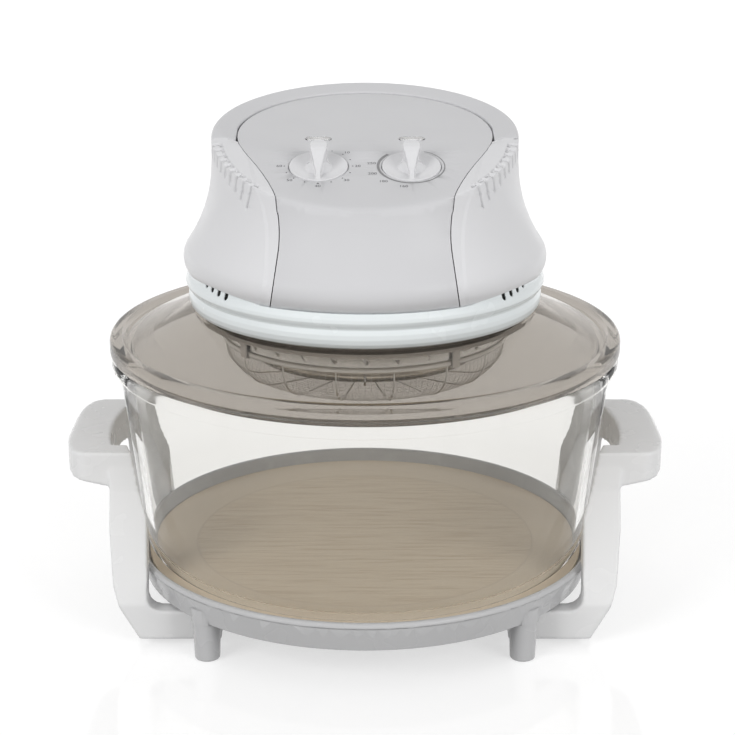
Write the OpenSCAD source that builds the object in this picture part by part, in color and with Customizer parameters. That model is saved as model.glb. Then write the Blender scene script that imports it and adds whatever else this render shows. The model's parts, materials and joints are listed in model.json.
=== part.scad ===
// Countertop halogen oven: a glass bowl in a white stand, and a glass lid whose motor head is
// clamped in its middle. Millimetres, +Z up, the front faces -Y, and the origin lies under the
// middle of the bowl, level with the soles of the feet.

/* [Stand] */
// Height of the feet, up to the underside of the tray
foot_h = 27; // [20:1:40]
// Diameter of a foot at its top
foot_d = 18.5; // [15:0.5:20]
// How far the middle of a foot lies inside the tray's lower edge
foot_inset = 5.2; // [4:0.2:9]
// Direction of the front right foot, from the X axis
foot_angle = 46; // [40:1:50]
// Outer radius of the tray at its lower edge
tray_base_r = 153.7; // [151:0.5:156]
// Height of the tray, from its underside to the top of its bead
tray_h = 21; // [18:0.5:26]
// Radius of the round bead on the tray's rim
bead_r = 2.5; // [2:0.25:3]
// Thickness of the tray's wall and floor
tray_wall = 3; // [2:0.25:3.5]
// Depth of the tray's floor under the top of the bead
tray_depth = 10; // [8:0.5:11]
// Thickness of the pale disc under the bowl
liner_t = 2; // [1:0.25:3]
// Outer radius of the side grips
grip_r = 202.5; // [198:0.5:212]
// Radial width of a side grip
grip_w = 28.5; // [24:0.5:34]
// Length of a side grip, front to back
grip_len = 114; // [100:1:124]
// Height of the top of the side grips
grip_top = 124; // [112:1:132]
// Thickness of a grip where it meets the legs
grip_t = 25; // [20:0.5:30]
// Width of a leg, seen from the front
leg_w = 24.5; // [20:0.5:28]
// Thickness of a leg, front to back
leg_t = 15; // [12:0.5:18]
// How far a leg leans out on its way down
leg_lean = 31; // [20:1:36]
// Height of the leg's bottom edge above the floor
arm_lift = 5; // [3:0.5:8]
// Height of the arm that runs in under the tray
arm_h = 20; // [16:0.5:21]

/* [Bowl] */
// Outer radius of the bowl's wall at its foot
bowl_foot_r = 150.2; // [148:0.2:151]
// Outer radius of the bowl's wall under its rim
bowl_mouth_r = 166.1; // [160:0.5:168]
// Height of the bowl
bowl_h = 142.7; // [130:0.5:170]
// Thickness of the bowl's glass
bowl_t = 5; // [4:0.25:6]
// Radius of the bowl's bottom corner
bowl_corner = 18; // [12:0.5:24]
// Height of the thick rim of the bowl
bowl_rim_h = 11; // [8:0.5:14]
// How far the bowl's rim stands out from its wall
bowl_rim_out = 4.9; // [3:0.25:6]

/* [Glass lid] */
// How far the lid's rim reaches past the bowl's rim
lid_overhang = 1; // [0.5:0.25:3]
// Height of the lid's thick rim
lid_rim_h = 11.2; // [9:0.5:14]
// Width of the lid's thick rim, seen from above
lid_rim_w = 9; // [7:0.5:11]
// Height of the lid's middle above its rim
lid_rise = 17.5; // [12:0.5:26]
// Thickness of the lid's glass
lid_t = 5; // [4:0.25:6]
// Radius of the opening in the lid
lid_opening_r = 104; // [103:0.25:105]
// How deep the lid's lip reaches into the bowl
lid_lip_h = 5; // [3:0.5:7]

/* [Head] */
// Radius of the collar at its widest
collar_r = 118.9; // [117:0.25:121]
// Height of the visible band of the collar
collar_h = 22; // [20:0.5:26]
// Radius of the head's lower edge
head_edge_r = 116.7; // [115.5:0.1:117]
// Radius of the rolled lip over that edge
head_lip_r = 14.6; // [12:0.2:16]
// Radius of the head at its waist
waist_r = 101.3; // [100:0.2:103]
// Height of the waist above the head's lower edge
waist_h = 73.5; // [68:0.5:80]
// Height of the head over its lower edge, in the middle
head_h = 90.1; // [87:0.5:100]
// Slope of the head's top, low at the front, in degrees
top_tilt = 8.75; // [7:0.25:10]
// Slope of the front part of the top, under the knobs
front_tilt = 18; // [15:0.5:20]
// Distance of the bend between the two slopes in front of the head's axis
bend_v = 28; // [24:0.5:32]
// Radius of that bend
bend_r = 150; // [80:5:200]
// Rounding of the front edge of the top
front_round = 13; // [10:0.5:16]
// Radius of the front edge's curve, seen along the slope
front_rim_r = 110; // [104:0.5:114]
// How far the ring round the panel rises towards its outer edge
crown = 3.75; // [3:0.25:4.25]
// Rounding of the outer edge of that ring
side_round = 4; // [4:0.25:7]
// Wall of the head's covers
cover_wall = 2.6; // [2:0.1:3]
// Gap between neighbouring covers
seam_gap = 0.6; // [0.3:0.1:1]
// Radius of the control panel's round rear end
panel_r = 83.8; // [82:0.2:84.4]
// Angle from the X axis at which the panel's sides leave its round end
panel_turn = 27.4; // [26:0.2:29]
// Radius of the hollow curve of the panel's sides
panel_side_r = 260; // [230:5:300]
// Half width of the panel at its waist, on the front of the head
panel_waist = 52.8; // [50:0.2:55]
// Height of that waist above the head's lower edge
panel_waist_h = 44.5; // [40:0.5:48]
// Spread of the panel's sides below its waist, in degrees
panel_spread = 8.8; // [6:0.2:11]
// Grooves on each wing
groove_count = 9; // [5:1:10]
// Width of a groove
groove_w = 2; // [1.4:0.1:2.4]
// Depth of a groove
groove_deep = 1.4; // [0.8:0.1:1.8]

/* [Controls] */
// Diameter of a knob
knob_d = 37.5; // [32:0.5:39]
// Width of the round hub at the foot of a knob's fin
hub_d = 19; // [12:0.5:24]
// Depth of the dish round the hub
knob_dish = 2; // [1:0.25:3]
// Distance of each knob from the middle of the panel
knob_x = 29.5; // [27:0.5:31]
// Distance of the knobs in front of the bend in the panel
knob_v = 23.5; // [21:0.5:26]
// Height of a knob's fin over the panel
fin_h = 12.5; // [9:0.5:16]
// Width of the fin at its back end
fin_w = 11; // [9:0.5:13]
// Length of a lamp window
window_l = 17.5; // [14:0.5:20]
// Width of a lamp window
window_w = 7; // [5:0.5:8]
// Distance of the windows in front of the head's axis, along the panel
window_v = 10; // [6:0.5:14]
// Radius of the control spindles
spindle_r = 3; // [2.5:0.1:3.5]

/* [Safety handle] */
// Radial width of the handle's band
band_w = 16; // [15:0.1:17.4]
// Height of the handle's band at its ends
band_h = 16; // [13:0.5:17]
// Radius of the round ends of the handle
band_end_r = 15.3; // [14:0.1:16]
// Distance of the handle's pivot in front of the head's axis
pivot_v = 2.7; // [1.5:0.1:4]
// Radius of the hinge pins
pin_r = 3; // [2:0.25:3.5]

/* [Heater and fan] */
// Radius of the ring-shaped halogen tube
tube_ring_r = 72; // [68:0.5:76]
// Radius of the glass tube itself
tube_r = 5.5; // [4.5:0.25:6.5]
// Radius of the air fan
fan_r = 54; // [44:1:58]
// Number of blades of the air fan
fan_blades = 10; // [6:1:14]
// Radius of the guard's bright ring
guard_r = 97; // [95:0.5:97.5]
// Depth of the guard under its bright ring
guard_depth = 32; // [28:0.5:40]
// Rounding of the guard's lower corner
guard_corner = 24; // [18:0.5:26]
// Number of straight wires in the guard
guard_wires = 16; // [8:2:24]
// Thickness of the guard's wires
wire_t = 1.8; // [1.4:0.1:2.4]
// Radius of the motor shaft
shaft_r = 4; // [3:0.25:5]
// Radius of the motor's rotor
rotor_r = 15; // [13:0.5:17]

/* [Fits] */
// Gap where a lift-off piece rests on its seat
rest_gap = 0.3; // [0.2:0.05:0.6]
// Radial gap of a turning fit
run_gap = 0.05; // [0.03:0.01:0.1]
// Radial gap of a loose fit
loose_gap = 0.4; // [0.3:0.05:0.6]

/* [Hidden] */
$fn = 96;
eps = 0.01;
white = [0.93, 0.93, 0.94];
far = 400;

// Heights of the stand and the bowl
tray_top = foot_h + tray_h;
tray_floor = tray_top - tray_depth;
liner_top = tray_floor + liner_t;
tray_rim_r = tray_base_r + 6.3;
bead_in_r = tray_rim_r - 2 * bead_r;
foot_ring_r = tray_base_r - foot_inset;
bowl_z = liner_top + rest_gap;
bowl_top = bowl_z + bowl_h;
bowl_rim_r = bowl_mouth_r + bowl_rim_out;
bowl_lean = atan((bowl_mouth_r - bowl_foot_r) / (bowl_h - bowl_rim_h));

// Heights and radii of the glass lid
lid_r = bowl_rim_r + lid_overhang;
lid_z = bowl_top + rest_gap;
lid_rim_top = lid_z + lid_rim_h;
lid_seat = lid_rim_top + lid_rise;
lid_seat_r = collar_r - 3.4;

// Plates under and over the lid's opening
clamp_t = 2.5;
clamp_r = lid_opening_r + 5;
clamp_top = lid_seat - lid_t;
pan_t = 1.2;
pan_top = clamp_top - clamp_t;
pan_r = guard_r - 1;
pan_skirt = 10.5;
guard_top = pan_top - pan_skirt;
floor_t = 2.5;
floor_top = lid_seat + floor_t;

// Outline of the head
head_z = lid_seat + collar_h + 2.5;
lip_z = head_z + 10.5;
lip_cr = head_edge_r - sqrt(head_lip_r * head_lip_r - 10.5 * 10.5);
waist_z = head_z + waist_h;
flare_x = waist_r - lip_cr;
flare_z = waist_z - lip_z;
flare_r = (flare_x * flare_x + flare_z * flare_z - head_lip_r * head_lip_r)
  / (2 * (head_lip_r - flare_x));
flare_turn = atan2(flare_z, waist_r + flare_r - lip_cr);
top_z = head_z + head_h;

// The rounded rims of the two slopes lie where these planes cut the upright waist.
top_rim_r = waist_r + 0.8;
crown_slope = atan(crown / (waist_r - panel_r));
bend_y = bend_v * cos(top_tilt);
bend_z = top_z - bend_v * sin(top_tilt);
front_y = -flank_r(rim_level(-flank_r(rim_level(-waist_r))));
front_rim_v = front_rim_r + (front_y + bend_y) * cos(front_tilt)
  + (rim_level(front_y) - bend_z) * sin(front_tilt);
panel_split_z = head_z + 57;

// Layout of the collar
vent_rise = 2.9;
slot_wall_r = head_edge_r - cover_wall - 1.9;
slot_wall_t = 2.4;
slot_top = head_z + 6.5;
post_ring_r = lid_opening_r - 7;
post_r = 5.5;
post_angles = [45, 135, 225, 315];
screw_r = 1.8;
screw_head_r = 3.5;
screw_head_h = 2.4;

// Recess for the safety handle, in the frame of the sloping top
recess_h = band_h + loose_gap;
band_in_r = panel_r + 1.2;
band_out_r = band_in_r + band_w;
pivot_h = -band_h / 2;
pocket_r = band_end_r + loose_gap;
recess_wall = 2.5;

// Knob cups in the panel
cup_r = knob_d / 2 + 0.65;
cup_depth = 6;
cup_floor = 2.5;
unit_top = -cup_depth - cup_floor - 0.1;
unit_w = 40;
unit_h = 24;

// Motor, stacked on the collar's floor
bracket_z = floor_top + 13.5;
bracket_t = 2.5;
stator_z = bracket_z + bracket_t + 5.5;
stator_h = 18;
upper_z = stator_z + stator_h + 5.5;
motor_w = 68;
motor_d = 54;
motor_bolt_x = 28;
motor_bolt_y = 22;
foot_bolt_x = 46;
coil_x = 18.3;
tube_z = guard_top - 13;
fan_top = pan_top - pan_t - 2;
fan_h = 17;
shaft_bottom = fan_top - fan_h - 2;
shaft_top = upper_z + 23;

// Where the handle's end presses the safety switch
switch_turn = 15;
plunger_r = 1.6;
plunger_travel = 1.5;

// Radius of the head's hollow flank at a height below the waist
function flank_r(z) = waist_r + flare_r - sqrt(flare_r * flare_r - pow(max(waist_z - z, 0), 2));

// Height at which the rounding of the top's front edge ends, at a place y
function rim_level(y) = bend_z + (y + bend_y) * tan(front_tilt) - front_round / cos(front_tilt);

// Points on an arc in a section or outline
function arc(cx, cy, r, from, to, n = 6) =
  [for (i = [0:n]) let (a = from + (to - from) * i / n) [cx + r * cos(a), cy + r * sin(a)]];

// Outer radius of the bowl's wall at a height
function bowl_r(z) = bowl_foot_r + (z - bowl_z) * tan(bowl_lean);

// Places the children in the frame of the head's sloping top: x across, y along it, z off it
module on_top(x = 0, v = 0, h = 0) {
  translate([0, 0, top_z]) rotate([top_tilt, 0, 0]) translate([x, v, h]) children();
}

// Places the children at the safety switch, at a height off the top
module at_switch(h) {
  on_top() rotate([0, 0, -switch_turn]) translate([-band_in_r - band_w / 2, 0, h]) children();
}

// Places the children in the frame of the top's steeper front part, from the bend
module on_front(x = 0, v = 0, h = 0) {
  on_top(v = -bend_v) rotate([front_tilt - top_tilt, 0, 0]) translate([x, v, h]) children();
}

// Copies the children to four places round the axis
module at_angles(angles, r, z) {
  for (a = angles) rotate([0, 0, a]) translate([r, 0, z]) children();
}

// A screw that points up from z = 0, with its head below
module screw(length, r = screw_r, head_r = screw_head_r, head_h = screw_head_h) {
  translate([0, 0, -head_h]) cylinder(h = head_h, r = head_r, $fn = 32);
  translate([0, 0, -eps]) cylinder(h = length + eps, r = r, $fn = 32);
}

// Stand

// Centres of the four screws that hold the side frames
arm_in_x = 95;
frame_bolt_x = 105;
leg_foot_y = 76;
arm_y = leg_foot_y + leg_t / 2;
arm_top = arm_lift + arm_h;

module at_feet() {
  for (sx = [-1, 1], sy = [-1, 1])
    translate([sx * foot_ring_r * cos(foot_angle), sy * foot_ring_r * sin(foot_angle), 0])
      children();
}

module at_frame_bolts() {
  for (sx = [-1, 1], sy = [-1, 1]) translate([sx * frame_bolt_x, sy * arm_y, 0]) children();
}

// Round section of the tray, with its bead, groove and slanted skirt
module tray_section() {
  bead_z = tray_top - bead_r;
  bead_x = tray_rim_r - bead_r;
  skirt = tray_floor - tray_wall;
  skirt_r = tray_base_r + (tray_rim_r - tray_base_r) * (skirt - foot_h) / (bead_z - foot_h);
  polygon(concat(
    [[0, skirt], [skirt_r - tray_wall, skirt], [tray_base_r - tray_wall, foot_h]],
    arc(tray_base_r - 1, foot_h + 1, 1, -90, 0, 3),
    [[tray_rim_r - 0.8, bead_z - 1.6], [tray_rim_r - 1.8, bead_z - 1.2]],
    arc(bead_x, bead_z, bead_r, -20, 180, 10),
    [[bead_in_r - 3.4, tray_floor + 1], [bead_in_r - 4.4, tray_floor], [0, tray_floor]]));
}

module base_tray() {
  rib_z = tray_floor - tray_wall;
  boss_z = tray_floor - 1;
  color(white) difference() {
    union() {
      rotate_extrude() tray_section();
      at_feet() translate([0, 0, foot_h]) cylinder(h = boss_z - foot_h, d = foot_d + 1.5);
      at_frame_bolts() translate([0, 0, arm_top]) cylinder(h = boss_z - arm_top, r = 7);
      for (a = [0:45:315]) rotate([0, 0, a + 22.5])
        translate([30, -1.2, rib_z - 3]) cube([tray_base_r - 31, 2.4, 4]);
      translate([0, 0, rib_z - 3]) difference() {
        cylinder(h = 4, r = 32.4);
        translate([0, 0, -1]) cylinder(h = 6, r = 30);
      }
    }
    at_feet() translate([0, 0, foot_h - 1]) cylinder(h = 9, r = screw_r + run_gap, $fn = 32);
    at_frame_bolts() translate([0, 0, arm_top - 1]) cylinder(h = 10, r = screw_r + run_gap, $fn = 32);
  }
}

module base_liner() {
  color([0.86, 0.78, 0.66]) translate([0, 0, tray_floor])
    cylinder(h = liner_t, r = bead_in_r - 5);
}

// One foot: tapered, with a rounded sole and a deep hole for its screw
foot_bore_h = 14;
module foot(sx, sy) {
  sole_r = foot_d / 2 - 0.9;
  color(white) translate([sx * foot_ring_r * cos(foot_angle), sy * foot_ring_r * sin(foot_angle), 0])
    difference() {
      rotate_extrude($fn = 48) polygon(concat([[0, 0]], arc(sole_r - 1.6, 1.6, 1.6, -90, 0, 4),
        [[foot_d / 2, foot_h], [0, foot_h]]));
      translate([0, 0, -1]) cylinder(h = foot_bore_h + 1, r = screw_head_r + 0.5, $fn = 32);
      translate([0, 0, -1]) cylinder(h = foot_h + 2, r = screw_r + 0.2, $fn = 32);
    }
}

module foot_screws() {
  color("silver") at_feet() translate([0, 0, foot_bore_h]) screw(foot_h - foot_bore_h + 7);
}

// Front view of a side frame's leg and arm
module leg_front() {
  leg_in = bowl_r(foot_h + 20) - 6;
  leg_out = leg_in + leg_w;
  polygon(concat(
    [[arm_in_x, arm_lift], [leg_in + 3, arm_lift]],
    arc(leg_in + 3, arm_lift + 3, 3, -80, -55, 2),
    [[leg_out - 7.5, arm_top + 2], [leg_out - 3, arm_top + 16], [leg_out, grip_top - 50]],
    [[leg_out + 0.5, grip_top - 2], [leg_in, grip_top - 2]],
    [[leg_in - 1, arm_top + 20]],
    arc(leg_in - 11, arm_top + 10, 10, 0, -90, 5),
    [[arm_in_x, arm_top]]));
}

// Side view of the legs, which lean out from the grip down to the floor
module legs_side() {
  knee = arm_top + 5;
  top_y = leg_foot_y - leg_lean;
  for (s = [-1, 1]) polygon([[s * leg_foot_y, arm_lift], [s * (leg_foot_y + leg_t), arm_lift],
    [s * (leg_foot_y + leg_t), knee], [s * (top_y + leg_t), grip_top - grip_t],
    [s * (grip_len / 2 - 1), grip_top - 4], [s * (grip_len / 2 - leg_t), grip_top - 4],
    [s * (top_y - 4), grip_top - grip_t + 1], [s * (top_y - 0.5), grip_top - grip_t - 3],
    [s * leg_foot_y, knee - 1]]);
}

// Front view of a grip: flat top, round outer edge and an underside that rises outwards
module grip_front() {
  low = grip_top - grip_t;
  edge = 9;
  polygon(concat([[bowl_foot_r, low], [bowl_foot_r + 16, low]],
    arc(grip_r - edge, grip_top - edge - 1, edge, -62, 0, 5),
    arc(grip_r - 5, grip_top - 5, 5, 0, 90, 5),
    [[bowl_foot_r, grip_top]]));
}

// Plan of a grip: part of a ring round the bowl, with rounded outer corners and a broad foot over
// each leg
module grip_plan() {
  half = grip_len / 2;
  corner = 12;
  end_x = grip_r * cos(asin(half / grip_r)) - corner + 2;
  intersection() {
    difference() {
      circle(r = grip_r);
      intersection() {
        circle(r = grip_r - grip_w);
        square([2 * far, grip_len - 2 * leg_t - 4], center = true);
      }
    }
    union() {
      translate([100, -half]) square([end_x - 100, grip_len]);
      translate([100, corner - half]) square([150, grip_len - 2 * corner]);
      for (s = [-1, 1]) translate([end_x, s * (half - corner)]) circle(r = corner);
    }
  }
}

// The right side frame, moulded in one piece: grip, two legs and two arms under the tray
module right_frame_solid() {
  difference() {
    union() {
      intersection() {
        rotate([90, 0, 0]) linear_extrude(height = 2 * far, center = true) leg_front();
        rotate([90, 0, 90]) linear_extrude(height = far) legs_side();
      }
      intersection() {
        rotate([90, 0, 0]) linear_extrude(height = grip_len + 20, center = true) grip_front();
        translate([0, 0, grip_top - grip_t - 1]) linear_extrude(height = grip_t + 2) grip_plan();
      }
    }
    translate([0, 0, foot_h + tray_h]) cylinder(h = bowl_h, r1 = bowl_r(tray_top) + 4,
      r2 = bowl_r(tray_top + bowl_h) + 4);
    translate([0, 0, foot_h - 1.5]) cylinder(h = tray_h + 2.5, r1 = tray_base_r + 1, r2 = tray_rim_r + 1.4);
    for (s = [-1, 1]) translate([frame_bolt_x, s * arm_y, 0]) {
      cylinder(h = arm_lift + 13, r = screw_head_r + 0.5, $fn = 32);
      cylinder(h = arm_top + 1, r = screw_r + 0.2, $fn = 32);
    }
  }
}

module right_side_frame() { color(white) right_frame_solid(); }

module left_side_frame() { color(white) mirror([1, 0, 0]) right_frame_solid(); }

module frame_screws() {
  color("silver") at_frame_bolts() translate([0, 0, arm_lift + 13]) screw(arm_h - 13 + 7);
}

// Bowl and lid

module glass_bowl() {
  cr = bowl_foot_r + bowl_corner * tan(bowl_lean) - bowl_corner / cos(bowl_lean);
  cz = bowl_z + bowl_corner;
  rim_z = bowl_top - bowl_rim_h;
  in_top = bowl_r(bowl_top) - bowl_t / cos(bowl_lean);
  color([0.85, 0.88, 0.88, 0.4]) rotate_extrude($fn = 128) polygon(concat(
    [[0, bowl_z]], arc(cr, cz, bowl_corner, -90, -bowl_lean, 8),
    [[bowl_mouth_r, rim_z]], arc(bowl_rim_r - 3, rim_z + 4, 3, -60, 0, 4),
    arc(bowl_rim_r - 1.2, bowl_top - 1.2, 1.2, 0, 90, 3),
    [[in_top + 1, bowl_top], [in_top, bowl_top - 1]],
    arc(cr, cz, bowl_corner - bowl_t, -bowl_lean, -90, 8), [[0, bowl_z + bowl_t]]));
}

module glass_lid() {
  lip_out = bowl_r(bowl_top - lid_lip_h) - bowl_t / cos(bowl_lean) - 0.7;
  slope_r = lid_r - lid_rim_w;
  color([0.85, 0.88, 0.88, 0.4]) rotate_extrude($fn = 128) polygon(concat(
    [[lid_opening_r, clamp_top], [lid_seat_r - 1.5, clamp_top]],
    [[lip_out - 5.5, lid_rim_top - 9.5], [lip_out - 4.5, lid_z - lid_lip_h]],
    [[lip_out, lid_z - lid_lip_h], [lip_out, lid_z]],
    arc(lid_r - 1.5, lid_z + 1.5, 1.5, -90, 0, 3),
    arc(lid_r - 3.5, lid_rim_top - 3.5, 3.5, 0, 90, 6),
    [[slope_r + 1, lid_rim_top], [slope_r, lid_rim_top - 0.8], [slope_r - 2, lid_rim_top - 3.2]],
    [[lid_seat_r, lid_seat], [lid_opening_r, lid_seat]]));
}

// Collar under the head, with the vent slots that show between it and the covers

module collar_section() {
  shoulder = lid_seat + collar_h;
  in_r = slot_wall_r - slot_wall_t;
  polygon(concat(
    [[30, lid_seat]], arc(collar_r - 5.4, lid_seat + 1.5, 1.5, -90, -20, 3),
    arc(collar_r - 4.6, lid_seat + 9, 3, -15, 20, 3),
    arc(collar_r - 0.6, lid_seat + collar_h * 0.64, 2, 200, 160, 4),
    arc(collar_r - 3, lid_seat + collar_h * 0.86, 3, -25, 75, 6),
    [[slot_wall_r, shoulder + 0.4], [slot_wall_r, slot_top], [in_r, slot_top]],
    [[in_r, floor_top + 4], [in_r - 2, floor_top], [30, floor_top]]));
}

module vent_collar() {
  slot_low = lid_seat + collar_h - 0.5;
  color([0.88, 0.91, 0.93]) difference() {
    union() {
      rotate_extrude() collar_section();
      at_angles(post_angles, post_ring_r, floor_top - eps)
        cylinder(h = slot_top - floor_top, r = post_r, $fn = 32);
      at_angles(clamp_angles, clamp_ring_r, floor_top - eps) cylinder(h = 8, r = 4.5, $fn = 32);
    }
    for (s = [-1, 1], i = [0:4]) rotate([0, 0, 270 + s * (51 + 4 * i)])
      translate([slot_wall_r - 6, 0, 0]) {
        translate([0, -1.6, slot_low + 1.6]) cube([12, 3.2, slot_top - slot_low - 3]);
        translate([0, 0, slot_low + 1.6]) rotate([0, 90, 0]) cylinder(h = 12, r = 1.6, $fn = 24);
      }
    at_angles(post_angles, post_ring_r, lid_seat - 1) {
      cylinder(h = 5, r = screw_head_r + 0.3, $fn = 32);
      cylinder(h = 40, r = screw_r + 0.2, $fn = 32);
    }
    at_angles(clamp_angles, clamp_ring_r, lid_seat - 1)
      cylinder(h = 13, r = screw_r + run_gap, $fn = 32);
    for (s = [-1, 1], t = [-1, 1]) translate([s * foot_bolt_x, t * 8, lid_seat - 1])
      cylinder(h = 5, r = screw_r + run_gap, $fn = 32);
  }
}

clamp_angles = [20, 110, 200, 290];
clamp_ring_r = 86;
module clamp_holes(z, h, r) {
  at_angles(clamp_angles, clamp_ring_r, z) cylinder(h = h, r = r, $fn = 32);
}

module clamp_plate() {
  color("silver") difference() {
    translate([0, 0, pan_top]) cylinder(h = clamp_t, r = clamp_r);
    translate([0, 0, pan_top - 1]) cylinder(h = clamp_t + 2, r = shaft_r + 3);
    clamp_holes(pan_top - 1, clamp_t + 2, screw_r + 0.2);
  }
}

module insulation_disc() {
  color([0.8, 0.78, 0.72]) difference() {
    translate([0, 0, clamp_top]) cylinder(h = lid_t, r = lid_opening_r - 0.6);
    translate([0, 0, clamp_top - 1]) cylinder(h = lid_t + 2, r = shaft_r + 4);
    clamp_holes(clamp_top - 1, lid_t + 2, screw_r + 0.4);
  }
}

// Polished pan over the halogen tube; its skirt has slanted louvres that let the air out
module reflector_pan() {
  louvres = 30;
  color("gainsboro") difference() {
    translate([0, 0, guard_top]) cylinder(h = pan_skirt, r = pan_r);
    translate([0, 0, guard_top - 1]) cylinder(h = pan_skirt - pan_t + 1, r = pan_r - pan_t);
    translate([0, 0, guard_top - 1]) cylinder(h = pan_skirt + 2, r = shaft_r + 3);
    clamp_holes(guard_top, pan_skirt + 1, screw_r + 0.2);
    for (i = [0:louvres - 1]) rotate([0, 0, (i + 0.5) * 360 / louvres])
      translate([pan_r - 4, 0, guard_top + pan_skirt / 2 - 0.3]) rotate([35, 0, 0])
        translate([0, -1.3, -3.2]) cube([8, 2.6, 6.4]);
  }
}

// Section line of the guard's basket: upright side, round corner, flat bottom
function guard_line(inset) = concat(
  [[guard_r - 2 - inset, guard_top - 2]],
  arc(guard_r - 2 - guard_corner, guard_top - guard_depth + guard_corner,
    guard_corner - inset, 0, -90, 8),
  [[8, guard_top - guard_depth + inset]]);

function reverse(list) = [for (i = [len(list) - 1:-1:0]) list[i]];

module heater_guard() {
  low = guard_top - guard_depth;
  corner_r = guard_r - 2 - guard_corner;
  corner_z = low + guard_corner;
  mid = guard_corner - wire_t / 2 - 0.2;
  hoop = wire_t * 0.8;
  flat_hoops = [for (i = [1:3]) [corner_r * i / 4, low + wire_t / 2 + 0.2]];
  bent_hoops = [for (a = [-90, -60, -30, 0]) [corner_r + mid * cos(a), corner_z + mid * sin(a)]];
  color("silver") union() {
    translate([0, 0, guard_top - 4]) difference() {
      cylinder(h = 4, r = guard_r);
      translate([0, 0, -1]) cylinder(h = 6, r = guard_r - 6);
    }
    translate([0, 0, low + 0.1]) cylinder(h = wire_t, r = 13);
    for (i = [0:guard_wires - 1]) rotate([90, 0, (i + 0.5) * 360 / guard_wires])
      linear_extrude(height = wire_t, center = true)
        polygon(concat(guard_line(0), reverse(guard_line(wire_t + 0.4))));
    for (p = concat(flat_hoops, bent_hoops)) rotate_extrude() translate(p)
      square([hoop, hoop], center = true);
  }
}

// Bracket that hooks under the guard's ring and hangs on the clamp plate
module guard_clip(i) {
  w = 6;
  t = 1.2;
  out = guard_r + rest_gap;
  color("white") rotate([0, 0, -53.5 + 90 * (i - 1)]) union() {
    translate([out, -w / 2, guard_top - 4 - rest_gap - t]) cube([t, w, pan_skirt + 4 + rest_gap + t]);
    translate([out - 5, -w / 2, guard_top - 4 - rest_gap - t]) cube([5 + t, w, t]);
    translate([out, -w / 2, pan_top - t]) cube([clamp_r - out - 1, w, t]);
  }
}

// The halogen tube is a ring, open at the back, held by a ceramic socket at each end
tube_open = 26;
module tube_ring(r, open) {
  translate([0, 0, tube_z]) rotate([0, 0, 90 + open]) rotate_extrude(angle = 360 - 2 * open)
    translate([tube_ring_r, 0]) circle(r = r, $fn = 32);
}

module halogen_tube() { color([0.95, 0.9, 0.8, 0.6]) tube_ring(tube_r, tube_open); }

module tube_socket(side) {
  w = 17;
  top = pan_top - pan_t;
  color("ivory") rotate([0, 0, 90 + side * (tube_open - 4)]) difference() {
    translate([tube_ring_r - w / 2, -w / 2, tube_z - tube_r - 3]) cube([w, w, top - tube_z + tube_r + 3]);
    rotate([0, 0, -90 - side * (tube_open - 4)]) tube_ring(tube_r + rest_gap, tube_open - 1);
  }
}

module tube_hangers() {
  top = pan_top - pan_t;
  color("silver") for (a = [-90, 0, 180]) rotate([90, 0, a])
    linear_extrude(height = 1.5, center = true) difference() {
      union() {
        translate([tube_ring_r, tube_z]) circle(r = tube_r + 2.5, $fn = 32);
        translate([tube_ring_r - 3, tube_z]) square([6, top - tube_z]);
      }
      translate([tube_ring_r, tube_z]) circle(r = tube_r + rest_gap, $fn = 32);
    }
}

// Head covers

// The whole head's outer form, or that form drawn in by inset
module head_form(inset = 0) {
  lip_start = asin((lip_z - head_z) / head_lip_r);
  intersection() {
    rotate_extrude() polygon(concat(
      [[0, head_z - 1], [lip_cr + (head_lip_r - inset) * cos(lip_start), head_z - 1]],
      arc(lip_cr, lip_z, head_lip_r - inset, -lip_start, flare_turn, 8),
      arc(waist_r + flare_r, waist_z, flare_r + inset, 180 + flare_turn, 180, 7),
      [[waist_r - inset, top_z + 60], [0, top_z + 60]]));
    on_top() rotate_extrude() polygon(concat(
      [[0, -260], [170, -260], [170, crown - side_round], [top_rim_r - inset, crown - side_round]],
      arc(top_rim_r - side_round, crown - side_round, side_round - inset, 0, 90 + crown_slope, 5),
      [[panel_r, -inset], [0, -inset]]));
    on_front(v = front_rim_v) rotate_extrude() polygon(concat(
      [[0, -260], [190, -260], [190, -front_round], [front_rim_r - inset, -front_round]],
      arc(front_rim_r - front_round, -front_round, front_round - inset, 0, 90, 6),
      [[0, -inset]]));
  }
}

// All that lies under the two slopes of the panel, with their bend rounded
module panel_slopes(inset = 0) {
  turn = front_tilt - top_tilt;
  run = bend_r * tan(turn / 2);
  on_top(v = -bend_v) rotate([90, 0, 90]) linear_extrude(height = far, center = true)
    polygon(concat([[200, -300], [200, -inset]],
      arc(run, -bend_r, bend_r - inset, 90, 90 + turn, 5),
      [[-200 * cos(turn) + inset * sin(turn), -200 * sin(turn) - inset * cos(turn)], [-200, -300]]));
}

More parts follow.
